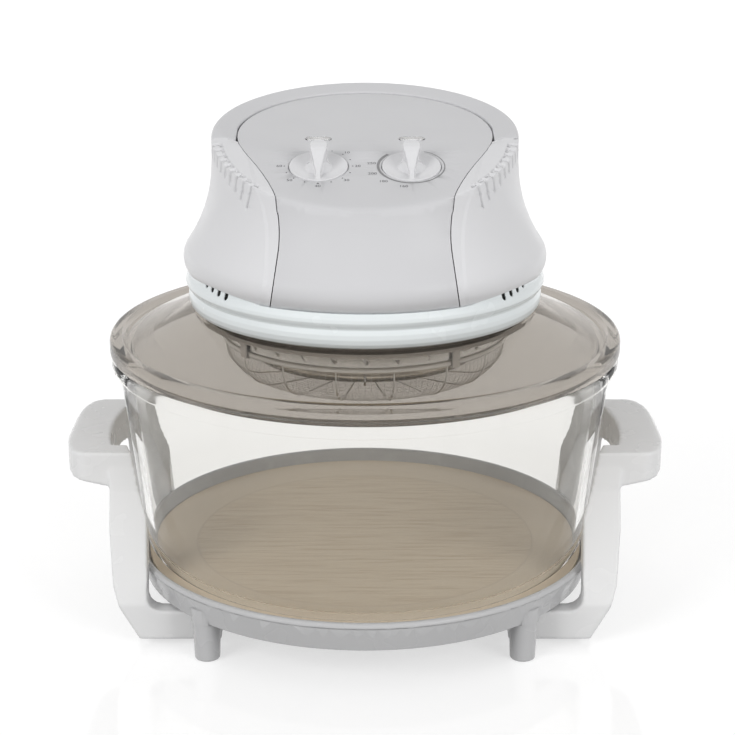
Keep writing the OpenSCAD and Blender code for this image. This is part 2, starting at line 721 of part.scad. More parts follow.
// The region that belongs to the control panel, made wider by grow
module panel_region(grow = 0) {
  centre = panel_r + panel_side_r;
  side = [for (p = arc(centre * cos(panel_turn), -centre * sin(panel_turn), panel_side_r - grow,
    180 - panel_turn, 171, 7)) p];
  other = [for (p = side) [-p[0], p[1]]];
  intersection() {
    on_top(h = -120) linear_extrude(height = 150) polygon(concat(
      arc(0, 0, panel_r + grow, -panel_turn, 180 + panel_turn, 40), other, reverse(side)));
    translate([-far, -far, panel_split_z]) cube([2 * far, 2 * far, 100]);
  }
  bend = 80;
  waist_up = head_z + panel_waist_h;
  low = head_z - 2;
  straight = bend * sin(panel_spread);
  rise = panel_split_z - waist_up;
  foot_x = panel_waist + bend - bend * cos(panel_spread)
    + (waist_up - straight - low) * tan(panel_spread) + grow;
  right = concat([[foot_x, low]], arc(panel_waist + bend, waist_up, bend - grow,
    180 + panel_spread, 180 - asin(rise / (bend - grow)), 8));
  left = [for (p = reverse(right)) [-p[0], p[1]]];
  rotate([90, 0, 0]) linear_extrude(height = far) polygon(concat(right, left));
}

// Space for the folded handle behind the panel, made wider by grow
module handle_recess(grow = 0) {
  on_top() difference() {
    union() {
      translate([-160, -pivot_v, -recess_h - grow]) cube([320, 200, 80]);
      translate([-160, -pivot_v, pivot_h]) rotate([0, 90, 0]) cylinder(h = 320, r = pocket_r + grow);
    }
    translate([0, 0, -80]) cylinder(h = 160, r = panel_r - grow);
  }
}

// Shallow grooves down the shoulder of each wing, each with a short arm along the shoulder
module wing_grooves() {
  difference() {
    for (s = [-1, 1], i = [0:groove_count - 1]) {
      low = top_z - 34.3 + 4.3 * i - 0.185 * i * i;
      in_r = waist_r - 3.2 - 0.42 * i;
      rotate([0, 0, 270 + s * (46.2 + 3.9 * i)]) translate([in_r, 0, low]) rotate([s * 12, 0, 0]) {
        translate([0, -groove_w / 2, 0]) cube([16, groove_w, 34]);
        translate([0, s > 0 ? -4.2 : 0, 3]) cube([groove_w, 4.2, 31]);
      }
    }
    head_form(groove_deep);
  }
}

gland_z = head_z + 26;
gland_face = head_edge_r + 3;
gland_r = 6;
pin_x = panel_r - 10;

module rear_housing() {
  $fn = 80;
  color(white) difference() {
    union() {
      difference() {
        head_form();
        head_form(cover_wall);
        panel_region(seam_gap);
        translate([0, 0, head_z - 50]) cylinder(h = 50 + eps, r = far);
      }
      // Walls round the handle's recess
      intersection() {
        difference() {
          handle_recess(recess_wall);
          on_top(h = -cover_wall - 0.1) cylinder(h = 60, r = panel_r + seam_gap);
        }
        head_form(cover_wall - 0.5);
      }
      // Bosses that carry the hinge pins
      for (s = [-1, 1]) on_top(v = -pivot_v, h = pivot_h) rotate([0, s * 90, 0])
        translate([0, 0, pin_x]) cylinder(h = 8, r = pin_r + 2.6);
      // Screw towers with a web to the wall
      intersection() {
        union() {
          at_angles(post_angles, post_ring_r, slot_top + rest_gap) cylinder(h = 60, r = post_r, $fn = 32);
          at_angles(post_angles, post_ring_r, slot_top + 8) translate([0, -1.2, 0]) cube([20, 2.4, 50]);
        }
        head_form(cover_wall - 0.5);
      }
      // Flat boss for the cord's gland
      intersection() {
        translate([0, 60, gland_z]) rotate([-90, 0, 0]) cylinder(h = gland_face - 60, r = gland_r + 4.5);
        difference() {
          translate([-40, 60, head_z]) cube([80, 80, 60]);
          head_form(cover_wall + 1);
        }
      }
    }
    handle_recess();
    wing_grooves();
    // Low arches over the vent slots
    for (s = [-1, 1]) rotate([0, 0, 270 + s * 58]) translate([60, 0, head_z + vent_rise - 250])
      rotate([0, 90, 0]) cylinder(h = 80, r = 250, $fn = 180);
    for (s = [-1, 1]) on_top(v = -pivot_v, h = pivot_h) rotate([0, s * 90, 0])
      translate([0, 0, pin_x - 1]) cylinder(h = 30, r = pin_r + run_gap);
    at_angles(post_angles, post_ring_r, slot_top - 1) cylinder(h = 16, r = screw_r + run_gap, $fn = 32);
    translate([0, 60, gland_z]) rotate([-90, 0, 0]) cylinder(h = 80, r = gland_r + 0.2);
    at_switch(-recess_h - recess_wall - 2) cylinder(h = 6, r = plunger_r + 0.5, $fn = 32);
  }
}

// Outline of a lamp window
module window_shape(gap = 0) {
  r = window_w / 2 + gap;
  run = window_l - window_w;
  square([run, 2 * r], center = true);
  for (s = [-1, 1]) translate([s * run / 2, 0]) circle(r = r, $fn = 48);
}

window_x = knob_x + 1;
module control_panel() {
  color(white) difference() {
    union() {
      difference() {
        intersection() {
          head_form();
          panel_region();
          panel_slopes();
        }
        intersection() {
          head_form(cover_wall);
          panel_slopes(cover_wall);
        }
        translate([0, 0, head_z - 50]) cylinder(h = 50 + eps, r = far);
      }
      for (s = [-1, 1]) on_front(s * knob_x, -knob_v, -cup_depth - cup_floor)
        cylinder(h = cup_depth + cup_floor - 1, r = cup_r + 2);
    }
    for (s = [-1, 1]) {
      on_front(s * knob_x, -knob_v, -cup_depth) cylinder(h = 30, r = cup_r);
      on_front(s * knob_x, -knob_v, -30) cylinder(h = 40, r = spindle_r + loose_gap, $fn = 32);
      on_top(s * window_x, -window_v, -10) linear_extrude(height = 20) window_shape(0.15);
    }
  }
}

module lamp_window(s) {
  color([0.9, 0.9, 0.88, 0.5]) on_top(s * window_x, -window_v, -cover_wall)
    linear_extrude(height = cover_wall + 0.5) window_shape();
}

// Small signal lamp in its holder, right under its window
module signal_lamp(s) {
  color([0.85, 0.5, 0.3]) on_top(s * window_x, -window_v, -cover_wall - 0.2) difference() {
    translate([-11, -5, -9]) cube([22, 10, 9]);
    translate([-window_l / 2 + 2, -3, -6]) cube([window_l - 4, 6, 10]);
  }
}

// Clockwork or thermostat behind the panel; its bush carries the spindle
module control_unit(s, tint) {
  color(tint) on_front(s * knob_x, -knob_v, 0) difference() {
    union() {
      translate([-unit_w / 2, -unit_w / 2, unit_top - unit_h]) cube([unit_w, unit_w, unit_h - 3]);
      translate([0, 0, unit_top - 3 - eps]) cylinder(h = 3 + eps, r = 8);
    }
    translate([0, 0, unit_top - 20]) cylinder(h = 30, r = spindle_r + run_gap);
  }
}

module timer_unit() { control_unit(-1, "dimgray"); }

module thermostat_unit() { control_unit(1, "burlywood"); }

// Plan of a knob's fin: wide and round at the back, drawn in to a narrow ridge at the front
module fin_plan() {
  r = knob_d / 2 - 1.2;
  nose = 1.5;
  back_v = 7.5;
  w = fin_w / 2;
  right = concat(arc(0, back_v, w, 80, 0, 5),
    [[w * 0.95, back_v - 4], [w * 0.8, 1], [w * 0.6, -3], [nose + 0.9, -7], [nose, -11], [nose, -r]]);
  left = [for (p = reverse(right)) [-p[0], p[1]]];
  polygon(concat(right, left));
}

// Side view of the fin: tall at the back, sweeping down to the rim at the front
module fin_side() {
  r = knob_d / 2 - 1.2;
  polygon([[-r, -4], [-r, 0.4], [-13, 2.2], [-8, 4.6], [-3, 7.6], [1, fin_h * 0.83],
    [4, fin_h * 0.94], [8, fin_h], [fin_w / 2 + 7, fin_h], [fin_w / 2 + 8, -4]]);
}

module knob(s) {
  rim = 0.6;
  dish_r = knob_d / 2 - 0.9;
  ball = (dish_r * dish_r + knob_dish * knob_dish) / (2 * knob_dish);
  base = -cup_depth + rest_gap;
  color("white") on_front(s * knob_x, -knob_v, 0) difference() {
    union() {
      difference() {
        translate([0, 0, base]) cylinder(h = rim - base, d = knob_d);
        translate([0, 0, rim - knob_dish + ball]) sphere(r = ball);
      }
      translate([0, 0.5, -1.6]) cylinder(h = 5.5, r1 = hub_d / 2, r2 = 3);
      intersection() {
        translate([0, 0, -4]) linear_extrude(height = 40) fin_plan();
        rotate([90, 0, 90]) linear_extrude(height = 40, center = true) fin_side();
        translate([0, 0, -10]) cylinder(h = 60, d = knob_d - 2);
      }
    }
    translate([0, 0, base - 1]) cylinder(h = knob_bore - base + 1, r = spindle_r + run_gap, $fn = 48);
  }
}

knob_bore = 2.5;
module spindle(s) {
  bottom = unit_top - 16;
  color("silver") on_front(s * knob_x, -knob_v, bottom)
    cylinder(h = knob_bore - 0.3 - bottom, r = spindle_r, $fn = 48);
}

// Motor

module shaft_bush(z, h) {
  translate([0, 0, z]) cylinder(h = h, r = shaft_r + 4.5, $fn = 48);
}

module at_motor_bolts() {
  for (s = [-1, 1], t = [-1, 1]) translate([s * motor_bolt_x, t * motor_bolt_y, 0]) children();
}

// Bridge on the collar's floor, with the lower bush and four spacers under the stator
module lower_motor_bracket() {
  leg_x = motor_w / 2 + 2;
  color("silver") difference() {
    union() {
      translate([-leg_x, -motor_d / 2, bracket_z]) cube([2 * leg_x, motor_d, bracket_t]);
      for (s = [-1, 1]) {
        translate([s * (leg_x - 1) - 1, -15, floor_top]) cube([2, 30, bracket_z - floor_top + 1]);
        translate([s * (leg_x + 8) - 10, -15, floor_top]) cube([20, 30, 2]);
      }
      shaft_bush(bracket_z - 4, 10);
      at_motor_bolts() translate([0, 0, bracket_z]) cylinder(h = stator_z - bracket_z, r = 4, $fn = 32);
    }
    translate([0, 0, floor_top - 1]) cylinder(h = 60, r = shaft_r + run_gap, $fn = 48);
    at_motor_bolts() translate([0, 0, bracket_z - 1]) cylinder(h = 20, r = screw_r + run_gap, $fn = 32);
    for (s = [-1, 1], t = [-1, 1]) translate([s * foot_bolt_x, t * 8, floor_top - 1])
      cylinder(h = 5, r = screw_r + 0.2, $fn = 32);
  }
}

module upper_motor_bracket() {
  color("silver") difference() {
    union() {
      translate([-motor_w / 2, -motor_d / 2, upper_z]) cube([motor_w, motor_d, bracket_t]);
      shaft_bush(upper_z - 3, 9);
      at_motor_bolts() translate([0, 0, stator_z + stator_h])
        cylinder(h = upper_z - stator_z - stator_h + 1, r = 4, $fn = 32);
    }
    translate([0, 0, upper_z - 10]) cylinder(h = 30, r = shaft_r + run_gap, $fn = 48);
    at_motor_bolts() translate([0, 0, upper_z - 10]) cylinder(h = 20, r = screw_r + 0.2, $fn = 32);
  }
}

// Stack of steel sheets with the rotor's bore and a window for the coil
module motor_stator() {
  color("dimgray") difference() {
    translate([-motor_w / 2, -motor_d / 2, stator_z]) cube([motor_w, motor_d, stator_h]);
    translate([0, 0, stator_z - 1]) cylinder(h = stator_h + 2, r = rotor_r + 0.5);
    translate([coil_x, -16.5, stator_z - 1]) cube([6, 33, stator_h + 2]);
    at_motor_bolts() translate([0, 0, stator_z - 1]) cylinder(h = stator_h + 2, r = screw_r + 0.2, $fn = 32);
  }
}

module motor_coil() {
  leg = coil_x + 6;
  color("peru") difference() {
    translate([coil_x + 0.3, -15.5, stator_z - 4.5]) cube([motor_w / 2 - coil_x + 5.5, 31, stator_h + 9]);
    translate([leg - 0.2, -20, stator_z - 0.2]) cube([motor_w / 2 - leg + 0.4, 40, stator_h + 0.4]);
  }
}

module motor_rotor() {
  color("gray") difference() {
    translate([0, 0, stator_z - 1]) cylinder(h = stator_h + 2, r = rotor_r);
    translate([0, 0, stator_z - 5]) cylinder(h = stator_h + 10, r = shaft_r + run_gap, $fn = 48);
  }
}

module motor_shaft() {
  color("silver") translate([0, 0, shaft_bottom]) cylinder(h = shaft_top - shaft_bottom, r = shaft_r, $fn = 48);
}

// Four long screws through the motor, and four short ones that hold its feet
module motor_screws() {
  long = upper_z + bracket_t - bracket_z + 1;
  color("silver") {
    at_motor_bolts() translate([0, 0, upper_z + bracket_t]) mirror([0, 0, 1]) screw(long);
    for (s = [-1, 1], t = [-1, 1]) translate([s * foot_bolt_x, t * 8, floor_top + 2])
      mirror([0, 0, 1]) screw(2 + floor_t - 0.5);
  }
}

// Cooling fan over the motor, with pitched blades
module cooling_fan() {
  z = upper_z + 9;
  blades = 7;
  color("white") difference() {
    union() {
      translate([0, 0, z]) cylinder(h = 11, r = 9, $fn = 48);
      for (i = [0:blades - 1]) rotate([0, 0, i * 360 / blades]) translate([7, 0, z + 5.5])
        rotate([32, 0, 0]) translate([0, -6.5, -0.8]) cube([25, 13, 1.6]);
    }
    translate([0, 0, z - 1]) cylinder(h = 14, r = shaft_r + run_gap, $fn = 48);
  }
}

// Air fan in the oven: a disc with upright blades under it
module air_fan() {
  color("gainsboro") difference() {
    union() {
      translate([0, 0, fan_top - 1.2]) cylinder(h = 1.2, r = fan_r);
      translate([0, 0, fan_top - fan_h]) cylinder(h = fan_h - 0.5, r = 10, $fn = 48);
      for (i = [0:fan_blades - 1]) rotate([0, 0, i * 360 / fan_blades])
        translate([8, -0.7, fan_top - fan_h + 2]) cube([fan_r - 9, 1.4, fan_h - 2.5]);
    }
    translate([0, 0, fan_top - fan_h - 1]) cylinder(h = fan_h + 2, r = shaft_r + run_gap, $fn = 48);
  }
}

// Small parts in the head

module terminal_block() {
  poles = 3;
  color("ivory") difference() {
    translate([-17, 66, floor_top]) cube([34, 15, 12]);
    for (i = [0:poles - 1]) translate([(i - 1) * 10.5, 60, floor_top + 6]) rotate([-90, 0, 0])
      cylinder(h = 30, r = 2, $fn = 24);
  }
}

module thermal_cutout() {
  color("silver") translate([-58, 40, floor_top]) union() {
    cylinder(h = 6, r = 8, $fn = 48);
    translate([-12, -4, 0]) cube([24, 8, 1]);
    for (s = [-1, 1]) translate([s * 4 - 0.4, -3, 5]) cube([0.8, 6, 9]);
  }
}

module cord_gland() {
  inner = gland_face - 16;
  color([0.75, 0.75, 0.76]) translate([0, 0, gland_z]) rotate([-90, 0, 0]) difference() {
    union() {
      translate([0, 0, inner]) cylinder(h = gland_face - inner + 1, r = gland_r, $fn = 64);
      translate([0, 0, gland_face]) cylinder(h = 3, r = gland_r + 3, $fn = 64);
      translate([0, 0, inner - 3]) cylinder(h = 3 + eps, r = gland_r + 2, $fn = 64);
    }
    translate([0, 0, inner - 4]) cylinder(h = 30, r = cord_r, $fn = 64);
  }
}

cord_r = 3.75;

// Switch under the left end of the handle, screwed against the floor of the recess
module safety_switch() {
  top = -recess_h - recess_wall - 0.2;
  color("dimgray") at_switch(top) difference() {
    translate([-3.2, -10, -10]) cube([6.4, 20, 10]);
    translate([0, 0, -7]) cylinder(h = 10, r = plunger_r + 0.1, $fn = 32);
  }
}

module switch_plunger() {
  top = -band_h - rest_gap;
  bottom = -recess_h - recess_wall - 6;
  color("white") at_switch(bottom) cylinder(h = top - bottom, r = plunger_r, $fn = 32);
}

module hinge_pin(s) {
  color("silver") on_top(v = -pivot_v, h = pivot_h) rotate([0, s * 90, 0])
    translate([0, 0, pin_x]) cylinder(h = band_out_r - 4.5 - pin_x, r = pin_r);
}

// The folding handle: a broad band round the back of the panel, with a round knuckle at each end
module safety_handle() {
  color(white) difference() {
    intersection() {
      on_top() rotate_extrude() polygon(concat(
        [[band_in_r - 4, -40], [band_out_r, -40], [band_out_r, crown - side_round]],
        arc(band_out_r - side_round, crown - side_round, side_round, 0, 90 + crown_slope, 6),
        [[band_in_r - 4, 0]]));
      on_top(v = -pivot_v, h = pivot_h) union() {
        difference() {
          translate([-160, 0, -band_h / 2]) cube([320, 200, 60]);
          translate([0, pivot_v, -60]) cylinder(h = 120, r = band_in_r);
        }
        for (s = [-1, 1]) rotate([0, s * 90, 0]) translate([0, 0, band_in_r - 0.7])
          cylinder(h = 60, r = band_end_r);
      }
      on_front() translate([-far, -far, -far]) cube([2 * far, 2 * far, far]);
    }
    for (s = [-1, 1]) on_top(v = -pivot_v, h = pivot_h) rotate([0, s * 90, 0])
      translate([0, 0, pin_x]) cylinder(h = band_out_r - 4 - pin_x, r = pin_r + run_gap);
  }
}

module clamp_screws() {
  color("silver") at_angles(clamp_angles, clamp_ring_r, pan_top - pan_t) screw(pan_t + clamp_t + lid_t + floor_t + 6);
}

module housing_screws() {
  color("silver") at_angles(post_angles, post_ring_r, lid_seat + 4) screw(slot_top - lid_seat + 8);
}

base_tray();
base_liner();
left_side_frame();
right_side_frame();
foot(-1, -1);  // front_left_foot
foot(1, -1);  // front_right_foot
foot(-1, 1);  // rear_left_foot
foot(1, 1);  // rear_right_foot
foot_screws();
frame_screws();
glass_bowl();
glass_lid();
vent_collar();
clamp_plate();
insulation_disc();
reflector_pan();
heater_guard();
guard_clip(1);  // guard_clip_1
guard_clip(2);  // guard_clip_2
guard_clip(3);  // guard_clip_3
guard_clip(4);  // guard_clip_4
halogen_tube();
tube_socket(1);  // left_tube_socket
tube_socket(-1);  // right_tube_socket
tube_hangers();
rear_housing();
control_panel();
lamp_window(-1);  // left_lamp_window
lamp_window(1);  // right_lamp_window
signal_lamp(-1);  // left_signal_lamp
signal_lamp(1);  // right_signal_lamp
timer_unit();
thermostat_unit();
motor_stator();
motor_coil();
lower_motor_bracket();
upper_motor_bracket();
terminal_block();
thermal_cutout();
cord_gland();
safety_switch();
hinge_pin(-1);  // left_hinge_pin
hinge_pin(1);  // right_hinge_pin
clamp_screws();
housing_screws();
motor_screws();
safety_handle();
knob(-1);  // timer_knob
spindle(-1);  // timer_spindle
knob(1);  // thermostat_knob
spindle(1);  // thermostat_spindle
motor_shaft();
motor_rotor();
cooling_fan();
air_fan();
switch_plunger();
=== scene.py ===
"""Looks of a countertop halogen oven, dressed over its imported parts.

Metres, +Z up, the front faces -Y, and the origin lies under the middle of the bowl.
"""
import json
import math

import bpy
from mathutils import Matrix, Vector

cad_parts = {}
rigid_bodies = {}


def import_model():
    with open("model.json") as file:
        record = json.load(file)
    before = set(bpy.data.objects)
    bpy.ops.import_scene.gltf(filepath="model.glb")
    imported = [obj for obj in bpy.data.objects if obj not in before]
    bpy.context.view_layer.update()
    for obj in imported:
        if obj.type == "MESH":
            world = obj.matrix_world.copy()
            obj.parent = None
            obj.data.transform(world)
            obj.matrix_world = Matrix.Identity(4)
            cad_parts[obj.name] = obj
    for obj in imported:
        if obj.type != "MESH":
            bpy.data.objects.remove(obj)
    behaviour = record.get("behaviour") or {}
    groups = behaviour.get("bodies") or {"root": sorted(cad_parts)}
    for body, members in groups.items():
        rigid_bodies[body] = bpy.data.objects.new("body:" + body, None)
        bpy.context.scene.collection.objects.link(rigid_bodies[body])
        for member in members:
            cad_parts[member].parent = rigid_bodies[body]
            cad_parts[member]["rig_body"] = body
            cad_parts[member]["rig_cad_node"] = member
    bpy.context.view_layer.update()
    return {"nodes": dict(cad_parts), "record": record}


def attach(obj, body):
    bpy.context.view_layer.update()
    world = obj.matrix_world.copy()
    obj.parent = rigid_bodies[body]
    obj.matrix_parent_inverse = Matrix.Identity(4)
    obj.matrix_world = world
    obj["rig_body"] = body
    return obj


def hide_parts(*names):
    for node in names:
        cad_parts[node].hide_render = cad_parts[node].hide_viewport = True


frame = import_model()
nodes = frame["nodes"]

# Frames of the head's sloping top and of its steeper front part, as the CAD has them
BEND = 0.028
TOP = Matrix.Translation((0, 0, 0.3266)) @ Matrix.Rotation(math.radians(8.75), 4, "X")
FRONT = TOP @ Matrix.Translation((0, -BEND, 0)) @ Matrix.Rotation(math.radians(9.25), 4, "X")
KNOB_X = 0.0295
KNOB_V = 0.0235


# ---------------------------------------------------------------- modelling helpers

def deselect():
    """Leaves edit mode and deselects every object."""
    if bpy.context.object and bpy.context.object.mode != "OBJECT":
        bpy.ops.object.mode_set(mode="OBJECT")
    bpy.ops.object.select_all(action="DESELECT")


def focus(obj):
    """Makes obj the only selected object."""
    deselect()
    obj.select_set(True)
    bpy.context.view_layer.objects.active = obj
    return obj


def named(name):
    """Names the object that was just added."""
    obj = bpy.context.object
    obj.name = name
    obj.data.name = name
    return obj


def edit(obj, kind="FACE", everything=False):
    """Goes into edit mode on obj with all or nothing selected."""
    focus(obj)
    bpy.ops.object.mode_set(mode="EDIT")
    bpy.ops.mesh.select_mode(type=kind)
    bpy.ops.mesh.select_all(action="SELECT" if everything else "DESELECT")


def pick_faces(obj, test):
    """Selects, in edit mode, the faces for which test(centre, normal) is true."""
    focus(obj)
    bpy.ops.object.mode_set(mode="EDIT")
    bpy.ops.mesh.select_mode(type="FACE")
    bpy.ops.mesh.select_all(action="DESELECT")
    bpy.ops.object.mode_set(mode="OBJECT")
    for face in obj.data.polygons:
        face.select = bool(test(face.center, face.normal))
    bpy.ops.object.mode_set(mode="EDIT")


def leave():
    bpy.ops.object.mode_set(mode="OBJECT")


def settle(obj):
    """Puts the object's place into its mesh, so that it sits at the origin."""
    focus(obj)
    bpy.ops.object.transform_apply(location=True, rotation=True, scale=True)
    return obj


def place(obj, matrix):
    """Stands the object in another frame and settles it there."""
    obj.matrix_world = matrix @ obj.matrix_world
    return settle(obj)


def apply_modifiers(obj):
    focus(obj)
    for name in [m.name for m in obj.modifiers]:
        bpy.ops.object.modifier_apply(modifier=name)
    return obj


def smooth(obj, degrees=35):
    focus(obj)
    bpy.ops.object.shade_smooth_by_angle(angle=math.radians(degrees))
    return obj


def outward(obj):
    """Merges doubles and turns the faces outwards."""
    edit(obj, everything=True)
    bpy.ops.mesh.remove_doubles(threshold=1e-6)
    bpy.ops.mesh.normals_make_consistent(inside=False)
    leave()
    return obj


def copy_node(node, name):
    """A welded copy of a CAD node, to be finished by hand."""
    focus(nodes[node])
    bpy.ops.object.duplicate()
    obj = named(name)
    obj.parent = None
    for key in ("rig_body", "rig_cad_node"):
        if key in obj:
            del obj[key]
    edit(obj, everything=True)
    bpy.ops.mesh.remove_doubles(threshold=2e-6)
    leave()
    return obj


def lathe(name, section, steps, soft=0.0, segments=3):
    """Turns a closed section, given as (radius, height) in millimetres, round the Z axis."""
    deselect()
    bpy.ops.mesh.primitive_circle_add(vertices=len(section), radius=0.01, fill_type="NOTHING")
    obj = named(name)
    for vertex, (r, z) in zip(obj.data.vertices, section):
        vertex.co = (r * 0.001, 0, z * 0.001)
    edit(obj, "VERT", everything=True)
    if soft:
        bpy.ops.mesh.bevel(offset=soft * 0.001, segments=segments, affect="VERTICES", clamp_overlap=True)
        bpy.ops.mesh.select_all(action="SELECT")
    bpy.ops.mesh.spin(steps=steps, angle=math.tau, center=(0, 0, 0), axis=(0, 0, 1), dupli=False)
    leave()
    return outward(obj)


def bend(cx, cz, r, start, end, count):
    """Points of an arc in a section, in millimetres and degrees."""
    turns = [math.radians(start + (end - start) * k / count) for k in range(count + 1)]
    return [(cx + r * math.cos(a), cz + r * math.sin(a)) for a in turns]


def cut(obj, cutter):
    """Takes the cutter away from obj."""
    tool = obj.modifiers.new("cut", "BOOLEAN")
    tool.operation = "DIFFERENCE"
    tool.solver = "EXACT"
    tool.object = cutter
    apply_modifiers(obj)
    bpy.data.objects.remove(cutter)
    return obj


def join(objs, name):
    """Makes one piece of several."""
    deselect()
    for obj in objs:
        obj.select_set(True)
    bpy.context.view_layer.objects.active = objs[0]
    bpy.ops.object.join()
    return named(name)


def even_shine(obj, degrees=32):
    """Lets the broad faces of a moulding shade smoothly into the bends beside them."""
    smooth(obj, degrees)
    weigh = obj.modifiers.new("even shine", "WEIGHTED_NORMAL")
    weigh.keep_sharp = True
    weigh.weight = 50
    return apply_modifiers(obj)


def stand_in(obj, node, key):
    """Puts a finished piece in a CAD node's place, on its body, with its finish."""
    finish_with(obj, key)
    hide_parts(node)
    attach(obj, body_of(node))
    return obj


def moulded(node, name, voxel, soften, body):
    """A node's welded copy with the soft edges of an injection moulding, in the node's place."""
    obj = copy_node(node, name)
    remesh = obj.modifiers.new("even skin", "REMESH")
    remesh.mode = "VOXEL"
    remesh.voxel_size = voxel
    relax = obj.modifiers.new("soft edges", "SMOOTH")
    relax.factor = 0.5
    relax.iterations = soften
    apply_modifiers(obj)
    focus(obj)
    bpy.ops.object.shade_smooth()
    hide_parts(node)
    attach(obj, body)
    return obj


def tube(name, points, radius, sides=8, closed=False):
    """A round wire along points."""
    curve = bpy.data.curves.new(name, "CURVE")
    curve.dimensions = "3D"
    curve.bevel_depth = radius
    curve.bevel_resolution = max(0, sides // 4 - 1)
    curve.use_fill_caps = not closed
    line = curve.splines.new("POLY")
    line.points.add(len(points) - 1)
    for spot, p in zip(line.points, points):
        spot.co = (*p, 1)
    line.use_cyclic_u = closed
    obj = bpy.data.objects.new(name, curve)
    bpy.context.scene.collection.objects.link(obj)
    focus(obj)
    bpy.ops.object.convert(target="MESH")
    obj = named(name)
    return smooth(obj, 50)


# ---------------------------------------------------------------- materials

class Shades:
    """A material's nodes, added from left to right."""

    def __init__(self, name):
        self.material = bpy.data.materials.new(name)
        self.material.use_nodes = True
        self.tree = self.material.node_tree
        self.bsdf = self.tree.nodes["Principled BSDF"]

    def add(self, kind, **settings):
        node = self.tree.nodes.new(kind)
        for key, value in settings.items():
            setattr(node, key, value)
        return node

    def join(self, a, b):
        self.tree.links.new(a, b)

    def where(self, scale=(1, 1, 1), location=(0, 0, 0), turn=(0, 0, 0)):
        """Object coordinates, centred and scaled."""
        spot = self.add("ShaderNodeTexCoord")
        mapping = self.add("ShaderNodeMapping")
        mapping.inputs["Scale"].default_value = scale
        mapping.inputs["Location"].default_value = location
        mapping.inputs["Rotation"].default_value = turn
        self.join(spot.outputs["Object"], mapping.inputs["Vector"])
        return mapping.outputs["Vector"]

    def noise(self, scale, detail=2, where=None, roughness=0.5):
        node = self.add("ShaderNodeTexNoise")
        node.inputs["Scale"].default_value = scale
        node.inputs["Detail"].default_value = detail
        node.inputs["Roughness"].default_value = roughness
        self.join(where or self.where(), node.inputs["Vector"])
        return node.outputs["Fac"]

    def ramp(self, value, stops):
        node = self.add("ShaderNodeValToRGB")
        bar = node.color_ramp
        while len(bar.elements) < len(stops):
            bar.elements.new(0.5)
        for element, (spot, colour) in zip(bar.elements, stops):
            element.position = spot
            element.color = (*colour, 1)
        self.join(value, node.inputs["Fac"])
        return node.outputs["Color"]

    def math(self, what, a, b=None):
        node = self.add("ShaderNodeMath", operation=what)
        for socket, value in zip(node.inputs, (a, b)):
            if value is None:
                continue
            if isinstance(value, (int, float)):
                socket.default_value = value
            else:
                self.join(value, socket)
        return node.outputs[0]

    def spread(self, value, low, high, out_low, out_high):
        node = self.add("ShaderNodeMapRange")
        for key, number in (("From Min", low), ("From Max", high), ("To Min", out_low), ("To Max", out_high)):
            node.inputs[key].default_value = number
        self.join(value, node.inputs["Value"])
        return node.outputs["Result"]

    def bump(self, height, strength, distance):
        node = self.add("ShaderNodeBump")
        node.inputs["Strength"].default_value = strength
        node.inputs["Distance"].default_value = distance
        self.join(height, node.inputs["Height"])
        self.join(node.outputs["Normal"], self.bsdf.inputs["Normal"])

    def set(self, **values):
        for key, value in values.items():
            socket = self.bsdf.inputs[key.replace("_", " ")]
            socket.default_value = (*value, 1) if isinstance(value, tuple) else value


def shade_of(colour, factor):
    return tuple(min(1, c * factor) for c in colour)


def plastic(name, colour, rough, grain=0.0, coat=0.0, grain_size=900):
    """Moulded plastic: faint flow clouds in the colour, uneven polish and a fine skin."""
    m = Shades(name)
    clouds = m.noise(9, 3)
    m.join(m.ramp(clouds, [(0.3, shade_of(colour, 0.985)), (0.7, shade_of(colour, 1.012))]),
           m.bsdf.inputs["Base Color"])
    m.join(m.spread(m.noise(38, 2), 0.3, 0.7, rough - 0.03, rough + 0.04), m.bsdf.inputs["Roughness"])
    m.set(Specular_IOR_Level=0.45, Coat_Weight=coat, Coat_Roughness=0.12)
    if grain:
        m.bump(m.noise(grain_size, 2), grain, 0.0002)
    return m.material


def metal(name, colour, rough, streak=(1, 1, 60), bump=0.04, patch=0.05):
    """Bare metal with rolling marks and a slightly uneven shine."""
    m = Shades(name)
    lines = m.noise(120, 3, m.where(streak))
    m.join(m.ramp(m.noise(22, 3), [(0.3, shade_of(colour, 0.93)), (0.7, shade_of(colour, 1.03))]),
           m.bsdf.inputs["Base Color"])
    m.join(m.spread(lines, 0.3, 0.7, rough - patch, rough + patch), m.bsdf.inputs["Roughness"])
    m.set(Metallic=1.0)
    m.bump(lines, bump, 0.0003)
    return m.material


